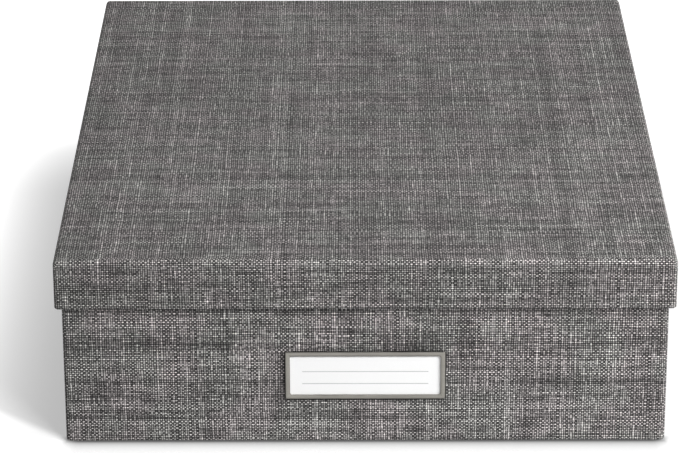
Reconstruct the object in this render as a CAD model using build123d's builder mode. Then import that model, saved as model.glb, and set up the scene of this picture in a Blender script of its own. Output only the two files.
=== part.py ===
"""Document box: a paper-covered board tray with a lift-off lid and a metal label holder.

Millimetres. X runs across the front, Y from the front to the back, Z up from the surface that
the box stands on. The origin is below the middle of the box.
"""

from build123d import *

import os

# Outside of the closed box
lid_width = 260.0
lid_depth = 335.0
total_height = 85.0
skirt_height = 22.3

# Sheet materials
board_thickness = 1.8
wrap_thickness = 0.25
liner_thickness = 0.2
stay_thickness = 0.15
base_sheet_thickness = 0.25

# Running gap on each side between the lid's skirt and the tray
lid_clearance = 0.5

# Roundings of the covered board, measured on its outside
corner_radius = 2.6
lid_fold_radius = 2.4
tray_fold_radius = 1.1
rim_radius = 0.8

# Covering paper turned in over the tray's rim and under its base
tray_turn_in = 18.0
turn_under = 15.0
liner_overlap = 4.0
base_sheet_inset = 3.0

# Reinforcing papers round the corners of the boards
stay_wing = 18.0
stay_end_gap = 3.0
butt_slit = 0.1

# Label holder: a pressed metal frame, open at its top and behind it
frame_width = 68.0
frame_height = 22.3
frame_strip = 2.25
frame_metal = 0.45
card_slot_depth = 0.6
frame_corner_radius = 1.2
frame_edge_radius = 0.7
window_corner_radius = 1.0
window_edge_radius = 0.12

# Prongs of the label holder, pushed through the front wall and bent over inside
prong_width = 2.5
prong_reach = 4.5
prong_spacing = 12.0
prong_clearance = 0.05

# Label card
card_height = 19.9
card_thickness = 0.3
card_side_gap = 0.3

# Folds round an upright corner stay tighter than the corner itself
lid_fold = min(lid_fold_radius, 0.95 * corner_radius)
tray_fold = min(tray_fold_radius, 0.95 * corner_radius)

# Covered walls
wall_thickness = board_thickness + 2 * wrap_thickness
rim_round = min(rim_radius, 0.45 * wall_thickness)
board_rim_round = min(max(rim_round - wrap_thickness, 0.05), 0.45 * board_thickness)

# Tray, from its outside inwards
tray_width = lid_width - 2 * (wall_thickness + lid_clearance)
tray_depth = lid_depth - 2 * (wall_thickness + lid_clearance)
tray_board_width = tray_width - 2 * wrap_thickness
tray_board_depth = tray_depth - 2 * wrap_thickness
tray_inner_width = tray_board_width - 2 * board_thickness
tray_inner_depth = tray_board_depth - 2 * board_thickness
board_corner_radius = corner_radius - wrap_thickness

# Tray levels
tray_wrap_bottom = base_sheet_thickness
tray_board_bottom = tray_wrap_bottom + wrap_thickness
tray_floor = tray_board_bottom + board_thickness

# Lid sizes and levels; the lid's liner rests on the tray's rim
skirt_bottom = total_height - skirt_height
lid_board_width = lid_width - 2 * wrap_thickness
lid_board_depth = lid_depth - 2 * wrap_thickness
lid_inner_width = lid_board_width - 2 * board_thickness
lid_inner_depth = lid_board_depth - 2 * board_thickness
lid_board_top = total_height - wrap_thickness
lid_panel_under = lid_board_top - board_thickness
tray_rim = lid_panel_under - liner_thickness
tray_board_rim = tray_rim - wrap_thickness
tray_turn_in_edge = tray_rim - tray_turn_in

# Label holder and card places; the holder sits halfway up the bare part of the front
front_face = tray_depth / 2
label_height = skirt_bottom / 2
frame_bottom = label_height - frame_height / 2
card_slot_bottom = frame_bottom + frame_metal
card_slot_width = frame_width - 2 * frame_metal
frame_proud = card_slot_depth + frame_metal
lined_front = tray_inner_depth / 2 - liner_thickness

corner_signs = {
    "front_left": (-1, -1),
    "front_right": (1, -1),
    "back_left": (-1, 1),
    "back_right": (1, 1),
}


def folded_block(width, depth, low, high, corner, fold, fold_at_top):
    """A solid block with rounded upright corners and a rounded fold round its base or its top."""
    with BuildPart() as block:
        with BuildSketch(Plane.XY.offset(low)):
            RectangleRounded(width, depth, corner)
        extrude(amount=high - low)
        folded_face = block.faces().sort_by(Axis.Z)[-1 if fold_at_top else 0]
        fillet(folded_face.edges(), fold)
    return block.part


def corner_stay(width, depth, low, high, signs):
    """A strip of paper bent round one upright corner of a board, pressed flush into it."""
    with BuildPart() as stay:
        with BuildSketch(Plane.XY.offset(low)):
            RectangleRounded(width, depth, board_corner_radius)
            RectangleRounded(
                width - 2 * stay_thickness,
                depth - 2 * stay_thickness,
                board_corner_radius - stay_thickness,
                mode=Mode.SUBTRACT,
            )
            with Locations((signs[0] * width / 2, signs[1] * depth / 2)):
                Rectangle(2 * stay_wing, 2 * stay_wing, mode=Mode.INTERSECT)
        extrude(amount=high - low)
    return stay.part


def butt_joints(inner_width, inner_depth, low, high):
    """The hairline cuts where the ends of the side walls butt against the front and back walls."""
    with BuildPart() as cuts:
        with BuildSketch(Plane.XY.offset(low)):
            for x_sign, y_sign in corner_signs.values():
                middle_x = x_sign * (inner_width / 2 + board_thickness)
                middle_y = y_sign * (inner_depth - butt_slit) / 2
                with Locations((middle_x, middle_y)):
                    Rectangle(4 * board_thickness, butt_slit)
        extrude(amount=high - low)
    return cuts.part


def prong_slits(clearance):
    """The prongs' straight legs, grown all round by a clearance, as they run through the front wall."""
    with BuildPart() as slits:
        with BuildSketch(Plane.XZ.offset(front_face)):
            for side in (-1, 1):
                for step in (-0.5, 0.5):
                    middle_x = side * (frame_width - frame_metal) / 2
                    with Locations((middle_x, label_height + step * prong_spacing)):
                        Rectangle(frame_metal + 2 * clearance, prong_width + 2 * clearance)
        extrude(amount=-(front_face - lined_front))
    return slits.part


through_wall = prong_slits(prong_clearance)

# Tray: one scored blank folded up into a base and four walls
with BuildPart() as tray_shell:
    add(
        folded_block(
            tray_board_width,
            tray_board_depth,
            tray_board_bottom,
            tray_board_rim,
            board_corner_radius,
            tray_fold - wrap_thickness,
            False,
        )
    )
    with BuildSketch(Plane.XY.offset(tray_floor)):
        Rectangle(tray_inner_width, tray_inner_depth)
    extrude(amount=tray_board_rim - tray_floor, mode=Mode.SUBTRACT)
    fillet(tray_shell.faces().sort_by(Axis.Z)[-1].edges(), board_rim_round)

tray_stays = {
    name: corner_stay(
        tray_board_width,
        tray_board_depth,
        tray_board_bottom + tray_fold + stay_end_gap,
        tray_board_rim - stay_end_gap,
        signs,
    )
    for name, signs in corner_signs.items()
}

with BuildPart() as tray_board:
    add(tray_shell.part)
    add(butt_joints(tray_inner_width, tray_inner_depth, tray_floor, tray_board_rim), mode=Mode.SUBTRACT)
    for stay in tray_stays.values():
        add(stay, mode=Mode.SUBTRACT)
    add(through_wall, mode=Mode.SUBTRACT)

# Tray covering: turned under the base, up the walls, over the rim and down inside
with BuildPart() as tray_wrap:
    add(
        folded_block(
            tray_width,
            tray_depth,
            tray_wrap_bottom,
            tray_rim,
            corner_radius,
            tray_fold,
            False,
        )
    )
    with BuildSketch(Plane.XY.offset(tray_floor)):
        Rectangle(tray_inner_width, tray_inner_depth)
    extrude(amount=tray_turn_in_edge - tray_floor, mode=Mode.SUBTRACT)
    with BuildSketch(Plane.XY.offset(tray_turn_in_edge)):
        Rectangle(tray_inner_width - 2 * wrap_thickness, tray_inner_depth - 2 * wrap_thickness)
    extrude(amount=tray_turn_in, mode=Mode.SUBTRACT)
    fillet(tray_wrap.faces().sort_by(Axis.Z)[-1].edges(), rim_round)
    add(tray_shell.part, mode=Mode.SUBTRACT)
    with BuildSketch(Plane.XY.offset(tray_wrap_bottom)):
        Rectangle(tray_width - 2 * turn_under, tray_depth - 2 * turn_under)
    extrude(amount=wrap_thickness, mode=Mode.SUBTRACT)
    add(through_wall, mode=Mode.SUBTRACT)

# Sheet glued under the base: it steps up off the turned-under paper onto the board
with BuildPart() as tray_base_sheet:
    with BuildSketch():
        RectangleRounded(
            tray_width - 2 * base_sheet_inset,
            tray_depth - 2 * base_sheet_inset,
            corner_radius,
        )
    extrude(amount=base_sheet_thickness)
    with BuildSketch():
        Rectangle(
            tray_width - 2 * (turn_under + base_sheet_thickness),
            tray_depth - 2 * (turn_under + base_sheet_thickness),
        )
    extrude(amount=wrap_thickness, mode=Mode.SUBTRACT)
    with BuildSketch(Plane.XY.offset(wrap_thickness)):
        Rectangle(tray_width - 2 * turn_under, tray_depth - 2 * turn_under)
    extrude(amount=tray_board_bottom - wrap_thickness)

# Paper that lines the tray's walls: it steps inwards over the covering's turned-in edge
step_edge = tray_turn_in_edge - liner_thickness
with BuildPart() as tray_wall_liner:
    with BuildSketch(Plane.XY.offset(tray_floor)):
        Rectangle(tray_inner_width, tray_inner_depth)
        offset(amount=-liner_thickness, kind=Kind.INTERSECTION, mode=Mode.SUBTRACT)
    extrude(amount=step_edge - tray_floor)
    with BuildSketch(Plane.XY.offset(step_edge)):
        Rectangle(tray_inner_width, tray_inner_depth)
        offset(
            amount=-(wrap_thickness + liner_thickness),
            kind=Kind.INTERSECTION,
            mode=Mode.SUBTRACT,
        )
    extrude(amount=liner_thickness)
    with BuildSketch(Plane.XY.offset(tray_turn_in_edge)):
        Rectangle(tray_inner_width - 2 * wrap_thickness, tray_inner_depth - 2 * wrap_thickness)
        offset(amount=-liner_thickness, kind=Kind.INTERSECTION, mode=Mode.SUBTRACT)
    extrude(amount=liner_overlap)
    add(through_wall, mode=Mode.SUBTRACT)

with BuildPart() as tray_base_liner:
    with BuildSketch(Plane.XY.offset(tray_floor)):
        Rectangle(tray_inner_width - 2 * liner_thickness, tray_inner_depth - 2 * liner_thickness)
    extrude(amount=liner_thickness)

# Label holder
with BuildPart() as label_frame:
    with BuildSketch(Plane.XZ.offset(front_face)):
        with Locations((0, label_height)):
            RectangleRounded(frame_width, frame_height, frame_corner_radius)
    extrude(amount=frame_proud)
    fillet(label_frame.faces().sort_by(Axis.Y)[0].edges(), min(frame_edge_radius, 0.9 * frame_proud))
    with BuildSketch(Plane.XZ.offset(front_face)):
        with Locations((0, card_slot_bottom)):
            Rectangle(card_slot_width, frame_height, align=(Align.CENTER, Align.MIN))
    extrude(amount=card_slot_depth, mode=Mode.SUBTRACT)
    with BuildSketch(Plane.XZ.offset(front_face)):
        with Locations((0, label_height)):
            RectangleRounded(
                frame_width - 2 * frame_strip,
                frame_height - 2 * frame_strip,
                window_corner_radius,
            )
    extrude(amount=frame_proud, mode=Mode.SUBTRACT)
    window_edges = label_frame.faces().sort_by(Axis.Y)[0].inner_wires()[0].edges()
    fillet(window_edges, window_edge_radius)
    add(prong_slits(0))
    with BuildSketch(Plane.XZ.offset(lined_front)):
        for side in (-1, 1):
            for step in (-0.5, 0.5):
                leg_middle = side * (frame_width - prong_reach) / 2
                with Locations((leg_middle, label_height + step * prong_spacing)):
                    Rectangle(prong_reach, prong_width)
    extrude(amount=-frame_metal)

# Label card: it stands on the holder's bottom flange and slides out upwards
with BuildPart() as label_card:
    card_back = front_face + (card_slot_depth - card_thickness) / 2
    with BuildSketch(Plane.XZ.offset(card_back)):
        with Locations((0, card_slot_bottom)):
            Rectangle(
                card_slot_width - 2 * card_side_gap,
                card_height,
                align=(Align.CENTER, Align.MIN),
            )
    extrude(amount=card_thickness)

# Lid: one scored blank folded down into a panel and a skirt
with BuildPart() as lid_shell:
    add(
        folded_block(
            lid_board_width,
            lid_board_depth,
            skirt_bottom + wrap_thickness,
            lid_board_top,
            board_corner_radius,
            lid_fold - wrap_thickness,
            True,
        )
    )
    with BuildSketch(Plane.XY.offset(skirt_bottom + wrap_thickness)):
        Rectangle(lid_inner_width, lid_inner_depth)
    extrude(amount=lid_panel_under - skirt_bottom - wrap_thickness, mode=Mode.SUBTRACT)
    fillet(lid_shell.faces().sort_by(Axis.Z)[0].edges(), board_rim_round)

lid_stays = {
    name: corner_stay(
        lid_board_width,
        lid_board_depth,
        skirt_bottom + wrap_thickness + stay_end_gap,
        lid_board_top - lid_fold - stay_end_gap,
        signs,
    )
    for name, signs in corner_signs.items()
}

with BuildPart() as lid_board:
    add(lid_shell.part)
    add(
        butt_joints(lid_inner_width, lid_inner_depth, skirt_bottom, lid_panel_under),
        mode=Mode.SUBTRACT,
    )
    for stay in lid_stays.values():
        add(stay, mode=Mode.SUBTRACT)

# Lid covering: over the top, down the skirt, round its edge and up inside to the panel
with BuildPart() as lid_wrap:
    add(
        folded_block(
            lid_width,
            lid_depth,
            skirt_bottom,
            total_height,
            corner_radius,
            lid_fold,
            True,
        )
    )
    with BuildSketch(Plane.XY.offset(skirt_bottom)):
        Rectangle(lid_inner_width - 2 * wrap_thickness, lid_inner_depth - 2 * wrap_thickness)
    extrude(amount=lid_panel_under - skirt_bottom, mode=Mode.SUBTRACT)
    fillet(lid_wrap.faces().sort_by(Axis.Z)[0].edges(), rim_round)
    add(lid_shell.part, mode=Mode.SUBTRACT)

with BuildPart() as lid_liner:
    with BuildSketch(Plane.XY.offset(tray_rim)):
        Rectangle(lid_inner_width - 2 * wrap_thickness, lid_inner_depth - 2 * wrap_thickness)
    extrude(amount=liner_thickness)

pieces = {
    "tray_board": tray_board.part,
    "tray_wrap": tray_wrap.part,
    "tray_base_sheet": tray_base_sheet.part,
    "tray_wall_liner": tray_wall_liner.part,
    "tray_base_liner": tray_base_liner.part,
    "label_frame": label_frame.part,
    "label_card": label_card.part,
    "lid_board": lid_board.part,
    "lid_wrap": lid_wrap.part,
    "lid_liner": lid_liner.part,
}
for corner in corner_signs:
    pieces[f"tray_corner_stay_{corner}"] = tray_stays[corner]
    pieces[f"lid_corner_stay_{corner}"] = lid_stays[corner]

os.makedirs("parts", exist_ok=True)
for name, piece in pieces.items():
    piece.label = name
    export_step(piece, f"parts/{name}.step")
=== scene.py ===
"""Looks of the document box: cloth-look paper over board, a lift-off lid and a metal label holder.

Metres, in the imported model's frame: X to the right across the front, Y to the back, Z up.
The covering papers are new meshes. The boards, linings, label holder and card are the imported
model's own nodes with new materials.
"""

import math
from functools import partial

import bmesh
import bpy
import numpy as np
from bpy.props import FloatProperty, FloatVectorProperty, PointerProperty
from mathutils import Euler, Matrix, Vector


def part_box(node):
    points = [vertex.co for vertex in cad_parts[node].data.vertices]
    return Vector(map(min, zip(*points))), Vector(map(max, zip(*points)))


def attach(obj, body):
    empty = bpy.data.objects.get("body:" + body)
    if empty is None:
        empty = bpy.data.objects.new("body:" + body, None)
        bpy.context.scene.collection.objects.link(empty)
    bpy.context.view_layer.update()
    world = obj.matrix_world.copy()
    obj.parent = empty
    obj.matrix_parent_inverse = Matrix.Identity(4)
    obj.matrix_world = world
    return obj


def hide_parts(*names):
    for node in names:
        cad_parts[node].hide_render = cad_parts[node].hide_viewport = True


bl_info = {
    "name": "Document box",
    "version": (1, 0, 0),
    "blender": (4, 5, 0),
    "location": "View3D > Sidebar > Box",
    "description": "Covers a packed document box with linen-look paper and sets it on a studio floor",
    "category": "Object",
}

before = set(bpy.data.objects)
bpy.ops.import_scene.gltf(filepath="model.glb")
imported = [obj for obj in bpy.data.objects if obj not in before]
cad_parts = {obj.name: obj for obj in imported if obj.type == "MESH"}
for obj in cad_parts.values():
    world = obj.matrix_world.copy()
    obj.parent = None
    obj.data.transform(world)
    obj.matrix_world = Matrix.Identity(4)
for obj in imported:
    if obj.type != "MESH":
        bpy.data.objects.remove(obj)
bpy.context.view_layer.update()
MM = 0.001
WARP_PITCH, WEFT_PITCH = 0.945 * MM, 0.81 * MM


def node_box(name):
    """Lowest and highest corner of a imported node, as arrays."""
    low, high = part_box(name)
    return np.array(low), np.array(high)


lid_low, lid_high = node_box("lid_wrap")
tray_low, tray_high = node_box("tray_wrap")
card_low, card_high = node_box("label_card")
frame_low, frame_high = node_box("label_frame")
lid_liner_top = float(node_box("lid_liner")[1][2])


def length(label, text, default, low):
    """A length property, in metres."""
    return FloatProperty(name=label, description=text, default=default, min=low, unit="LENGTH", precision=6)


def angle(label, text, degrees, low=-180, high=180):
    """An angle property, given in degrees."""
    default, low, high = (math.radians(value) for value in (degrees, low, high))
    return FloatProperty(name=label, description=text, default=default, min=low, max=high, subtype="ANGLE")


def amount(label, text, default, low=0.0, high=1000.0):
    """A property that is a plain number."""
    return FloatProperty(name=label, description=text, default=default, min=low, max=high)


def colour_setting(label, text, red, green, blue):
    """A property that is a colour, in linear values."""
    return FloatVectorProperty(
        name=label, description=text, default=(red, green, blue), subtype="COLOR", size=3, min=0, max=1
    )


class CoveringSizes(bpy.types.PropertyGroup):
    """Sizes of the covering papers and of the linen printed on them."""

    paper: length("Paper", "Thickness of the covering paper", 0.12 * MM, 0.02 * MM)
    corner: length(
        "Corner", "Radius of the upright corners, a little tighter than the boards'", 1.8 * MM, 0.5 * MM
    )
    lid_fold: length("Lid fold", "Radius of the fold round the lid's top", 2.4 * MM, 0.3 * MM)
    tray_fold: length("Tray fold", "Radius of the fold round the tray's base", 1.1 * MM, 0.3 * MM)
    rim: length("Rim", "Radius where the paper goes over an edge of the board", 0.8 * MM, 0.1 * MM)
    wall: length("Wall", "Thickness of a covered wall", 2.3 * MM, 0.5 * MM)
    turn_under: length("Turn under", "Covering paper turned in under the tray", 15 * MM, 3 * MM)
    turn_in: length("Turn in", "Covering paper turned down inside the tray's rim", 18 * MM, 3 * MM)
    seam_angle: angle("Seam", "How far a front or back paper reaches round the corner", 31, 0, 80)
    ear: length("Ear", "How far a side paper reaches under the front and back papers", 11 * MM, 1 * MM)
    grid: length("Grid", "Spacing of the mesh on flat paper", 3.5 * MM, 0.5 * MM)
    warp_pitch: length("Warp pitch", "Spacing of the threads that run along the depth", WARP_PITCH, 0.1 * MM)
    weft_pitch: length("Weft pitch", "Spacing of the threads that run across", WEFT_PITCH, 0.1 * MM)


class FinishColours(bpy.types.PropertyGroup):
    """Colours of the finishes, as linear values."""

    lid_linen: amount("Lid linen", "Grey of the lid's middle threads", 0.364, 0.01, 0.9)
    tray_linen: amount("Tray linen", "Grey of the tray's middle threads", 0.405, 0.01, 0.9)
    board: colour_setting("Board", "Solid grey board", 0.30, 0.275, 0.24)
    stay: colour_setting("Corner paper", "Gummed paper round the boards' corners", 0.46, 0.33, 0.20)
    liner: colour_setting("Lining", "Lining paper", 0.72, 0.71, 0.68)
    base: colour_setting("Base sheet", "Paper under the tray", 0.075, 0.074, 0.073)
    core: colour_setting("Paper core", "Cut edge and back of the covering", 0.45, 0.44, 0.42)
    metal: colour_setting("Label holder", "Plated steel", 0.235, 0.226, 0.204)
    card: colour_setting("Card", "Label card", 0.955, 0.955, 0.955)
    ruling: colour_setting("Ruling", "Writing lines on the label card", 0.32, 0.32, 0.33)


class StageSettings(bpy.types.PropertyGroup):
    """Camera, lamps and floor."""

    lens: amount("Lens", "Focal length on a 36 mm sensor, in millimetres", 177.78, 10)
    yaw: angle("Yaw", "Turn of the view to the left", 0.270)
    pitch: angle("Pitch", "Tilt of the view below the horizon", 22.726)
    roll: angle("Roll", "Turn of the picture", 0.2287)
    place: FloatVectorProperty(
        name="Camera", description="Where the camera stands", subtype="TRANSLATION", size=3,
        default=(-0.004602, -1.445238, 0.635487),
    )
    world_light: amount("World light", "Strength of the even light from all round", 0.28)
    key_power: amount("Key", "Power of the large lamp above the front", 37.0)
    side_power: amount("Side", "Power of the small lamp low on the right", 7.0)
    floor_grey: amount("Floor", "Colour of the floor as the box is lit by it", 0.50, 0, 1)
    floor_glow: amount("Floor lift", "Light added to the floor near the box as the camera sees it", 0.43)
    back_glow: amount("Back lift", "Light added to the floor behind the box as the camera sees it", 0.50)


class DocumentBox(bpy.types.PropertyGroup):
    """Everything that can be set for the document box."""

    covering: PointerProperty(type=CoveringSizes)
    colours: PointerProperty(type=FinishColours)
    stage: PointerProperty(type=StageSettings)


def settings():
    """The box's settings in this scene."""
    return bpy.context.scene.document_box


# Shader building

ORIGIN = (0.0, 0.0, 0.0)


class Value:
    """An output of a shader node. Arithmetic on it adds Math nodes to its tree."""

    def __init__(self, tree, socket):
        self.tree = tree
        self.socket = socket

    def __add__(self, other):
        return maths("ADD", self, other)

    def __sub__(self, other):
        return maths("SUBTRACT", self, other)

    def __rsub__(self, other):
        return maths("SUBTRACT", other, self)

    def __mul__(self, other):
        return maths("MULTIPLY", self, other)

    def __truediv__(self, other):
        return maths("DIVIDE", self, other)

    def __rtruediv__(self, other):
        return maths("DIVIDE", other, self)


def place(tree, kind, **options):
    """Adds a node of this kind and sets its options."""
    node = tree.nodes.new(kind)
    for name, option in options.items():
        setattr(node, name, option)
    return node


def feed(sockets, sources):
    """Joins each named or numbered socket to a value, or sets it to a constant."""
    for name, source in sources.items():
        if isinstance(source, Value):
            source.tree.links.new(source.socket, sockets[name])
        else:
            sockets[name].default_value = source


def read(tree, kind, output, **options):
    """An output of a new node that needs no inputs."""
    return Value(tree, place(tree, kind, **options).outputs[output])


def tree_of(sources):
    """The node tree of the first source that is a value."""
    return next(source.tree for source in sources.values() if isinstance(source, Value))


def work_out(kind, sources, output=0, **options):
    """Adds a node to its sources' tree, feeds it, and gives one of its outputs."""
    node = place(tree_of(sources), kind, **options)
    feed(node.inputs, sources)
    return Value(tree_of(sources), node.outputs[output])


def maths(operation, *sources, clamp=False):
    """A Math node's result."""
    return work_out("ShaderNodeMath", dict(enumerate(sources)), operation=operation, use_clamp=clamp)


def vector_maths(operation, *sources, output=0):
    """A Vector Math node's vector, or its number where the output is Value."""
    return work_out("ShaderNodeVectorMath", dict(enumerate(sources)), output, operation=operation)


def scaled(vector, factor):
    """A vector times a number."""
    return work_out("ShaderNodeVectorMath", {0: vector, "Scale": factor}, operation="SCALE")


def combine(x, y, z):
    """A vector from three values."""
    return work_out("ShaderNodeCombineXYZ", {"X": x, "Y": y, "Z": z})


def grey(value):
    """A value as a grey colour."""
    return combine(value, value, value)


def separate(vector):
    """The three values of a vector."""
    node = place(vector.tree, "ShaderNodeSeparateXYZ")
    feed(node.inputs, {0: vector})
    return [Value(vector.tree, socket) for socket in node.outputs]


def noise(vector, scale=1.0, detail=0.0, roughness=0.5, dimensions="3D", output="Fac"):
    """A Noise Texture, about 0.5 in the middle."""
    sources = {"Vector": vector, "Scale": scale, "Detail": detail, "Roughness": roughness}
    return work_out("ShaderNodeTexNoise", sources, output, noise_dimensions=dimensions)


def chance(x, y, z):
    """White noise, 0 to 1, that is one value for each whole-numbered place."""
    sources = {"Vector": combine(x, y, z)}
    return work_out("ShaderNodeTexWhiteNoise", sources, "Value", noise_dimensions="3D")


def remap(value, low, high, to_low=0.0, to_high=1.0, smooth=False):
    """Carries low..high to to_low..to_high, clamped at both ends."""
    sources = {"Value": value, "From Min": low, "From Max": high, "To Min": to_low, "To Max": to_high}
    kind = "SMOOTHSTEP" if smooth else "LINEAR"
    return work_out("ShaderNodeMapRange", sources, "Result", interpolation_type=kind, clamp=True)


def spread(value, share, tone):
    """Adds a share of a value's departure from 0.5 to a tone."""
    return maths("MULTIPLY_ADD", value - 0.5, share, tone)


def blend_values(factor, first, second):
    """The first value where the factor is 0, the second where it is 1."""
    sources = {"Factor": factor, 2: first, 3: second}
    return work_out("ShaderNodeMix", sources, data_type="FLOAT", clamp_factor=True)


def blend_colours(factor, first, second, way="MIX"):
    """Mixes two colours by a factor."""
    first, second = (
        source if isinstance(source, Value) else (*source, 1.0) for source in (first, second)
    )
    sources = {"Factor": factor, 6: first, 7: second}
    return work_out("ShaderNodeMix", sources, 2, data_type="RGBA", blend_type=way, clamp_factor=True)


def multiply_colours(first, second):
    """One colour times another."""
    return blend_colours(1.0, first, second, way="MULTIPLY")


def shade_of(colour, factor):
    """A plain colour made darker or lighter, no lighter than white."""
    return tuple(min(1.0, factor * value) for value in colour)


def ramp(value, stops):
    """A ramp through (place, grey) stops."""
    node = place(value.tree, "ShaderNodeValToRGB")
    points = node.color_ramp.elements
    while len(points) < len(stops):
        points.new(0.5)
    for point, (position, tone) in zip(points, stops):
        point.position = position
        point.color = (tone, tone, tone, 1.0)
    feed(node.inputs, {"Fac": value})
    return Value(value.tree, node.outputs["Color"])


def new_group(name, inputs, outputs):
    """An empty shader node group whose outputs are numbers; gives its tree, its input values by
    name and its output sockets."""
    tree = bpy.data.node_groups.new(name, "ShaderNodeTree")
    for label, default in inputs.items():
        kind = "NodeSocketVector" if isinstance(default, tuple) else "NodeSocketFloat"
        socket = tree.interface.new_socket(label, in_out="INPUT", socket_type=kind)
        socket.default_value = default
    for label in outputs:
        tree.interface.new_socket(label, in_out="OUTPUT", socket_type="NodeSocketFloat")
    entry = place(tree, "NodeGroupInput")
    given = {socket.name: Value(tree, socket) for socket in entry.outputs if socket.name}
    return tree, given, place(tree, "NodeGroupOutput").inputs


def use_group(name, maker, sources):
    """Puts a node group, made once, in a material and feeds it; gives its outputs by name."""
    tree = tree_of(sources)
    node = place(tree, "ShaderNodeGroup", node_tree=bpy.data.node_groups.get(name) or maker(name))
    feed(node.inputs, sources)
    return {socket.name: Value(tree, socket) for socket in node.outputs}


def new_material(name):
    """A material with an empty node tree; gives it, its tree and its Principled BSDF's inputs."""
    material = bpy.data.materials.new(name)
    material.use_nodes = True
    tree = material.node_tree
    tree.nodes.clear()
    shader = place(tree, "ShaderNodeBsdfPrincipled")
    tree.links.new(shader.outputs[0], place(tree, "ShaderNodeOutputMaterial").inputs[0])
    return material, tree, shader.inputs


def bump(height, distance, strength=1.0):
    """The normal of a surface raised by a height of 0 to 1 times the distance, in metres."""
    return work_out("ShaderNodeBump", {"Strength": strength, "Distance": distance, "Height": height})


def object_place(tree):
    """Object coordinates, in metres."""
    return read(tree, "ShaderNodeTexCoord", "Object")


# Linen weave, with its lengths in millimetres

WARP_RUN, WEFT_RUN = 10.0, 14.0
SLUB_LAYER, FLECK_LAYER, THICK_LAYER = 0.0, 3.7, 9.1
SLUB_DETAIL = 2.0
FLECK_RUN, THICK_RUN = 0.12, 2.2
OWN_SHARE, SLUB_SHARE, FLECK_SHARE, SPARK_SHARE = 0.42, 1.20, 0.46, 0.12
THICK_BAND = (0.56, 0.70)
THICK_SHARE, THICK_LIGHTER = 0.26, 0.05
LANE_GAP = 7.31
WEFT_LIGHTER = 0.125
WEFT_SEED, WEFT_PITCH_SEED = 31.7, 17.3
PITCH_RUN, PITCH_SHARE = 3.0, 0.8
WANDER_SCALE, WANDER_REACH = 0.085, 0.6
LEAN = 0.75
THREAD_ROUND, THREAD_POWER = 1.9, 1.45
LENGTHWISE_BANDS, CROSSWISE_BANDS = (0.11, 0.016, 1.0), (0.018, 0.13, 1.0)
TINT_SCALE = 0.045
TINT_SHIFT = (71.0, 13.0, 0.0)


def thread_tone(index, along, run, seed, middle):
    """One set of threads: its tone, with a value per thread, slubs and flecks along it, and where
    a thread is thick, from 0 to 1."""
    lane = index * LANE_GAP + seed

    def along_thread(reach, layer, detail=0.0):
        return noise(combine(lane, along / reach, layer), detail=detail)

    tone = spread(chance(index, seed, 0.0), OWN_SHARE, middle)
    tone = spread(along_thread(run, SLUB_LAYER, SLUB_DETAIL), SLUB_SHARE, tone)
    tone = spread(along_thread(FLECK_RUN * run, FLECK_LAYER), FLECK_SHARE, tone)
    thick = remap(along_thread(THICK_RUN * run, THICK_LAYER), *THICK_BAND, smooth=True)
    return thick * THICK_LIGHTER + tone, thick


def uneven_pitch(place_across, seed):
    """Makes the threads of one set uneven in width: adds slow noise to their places."""
    sample = combine(place_across / PITCH_RUN, seed, 0.0)
    return spread(noise(sample, dimensions="2D"), PITCH_SHARE, place_across)


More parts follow.
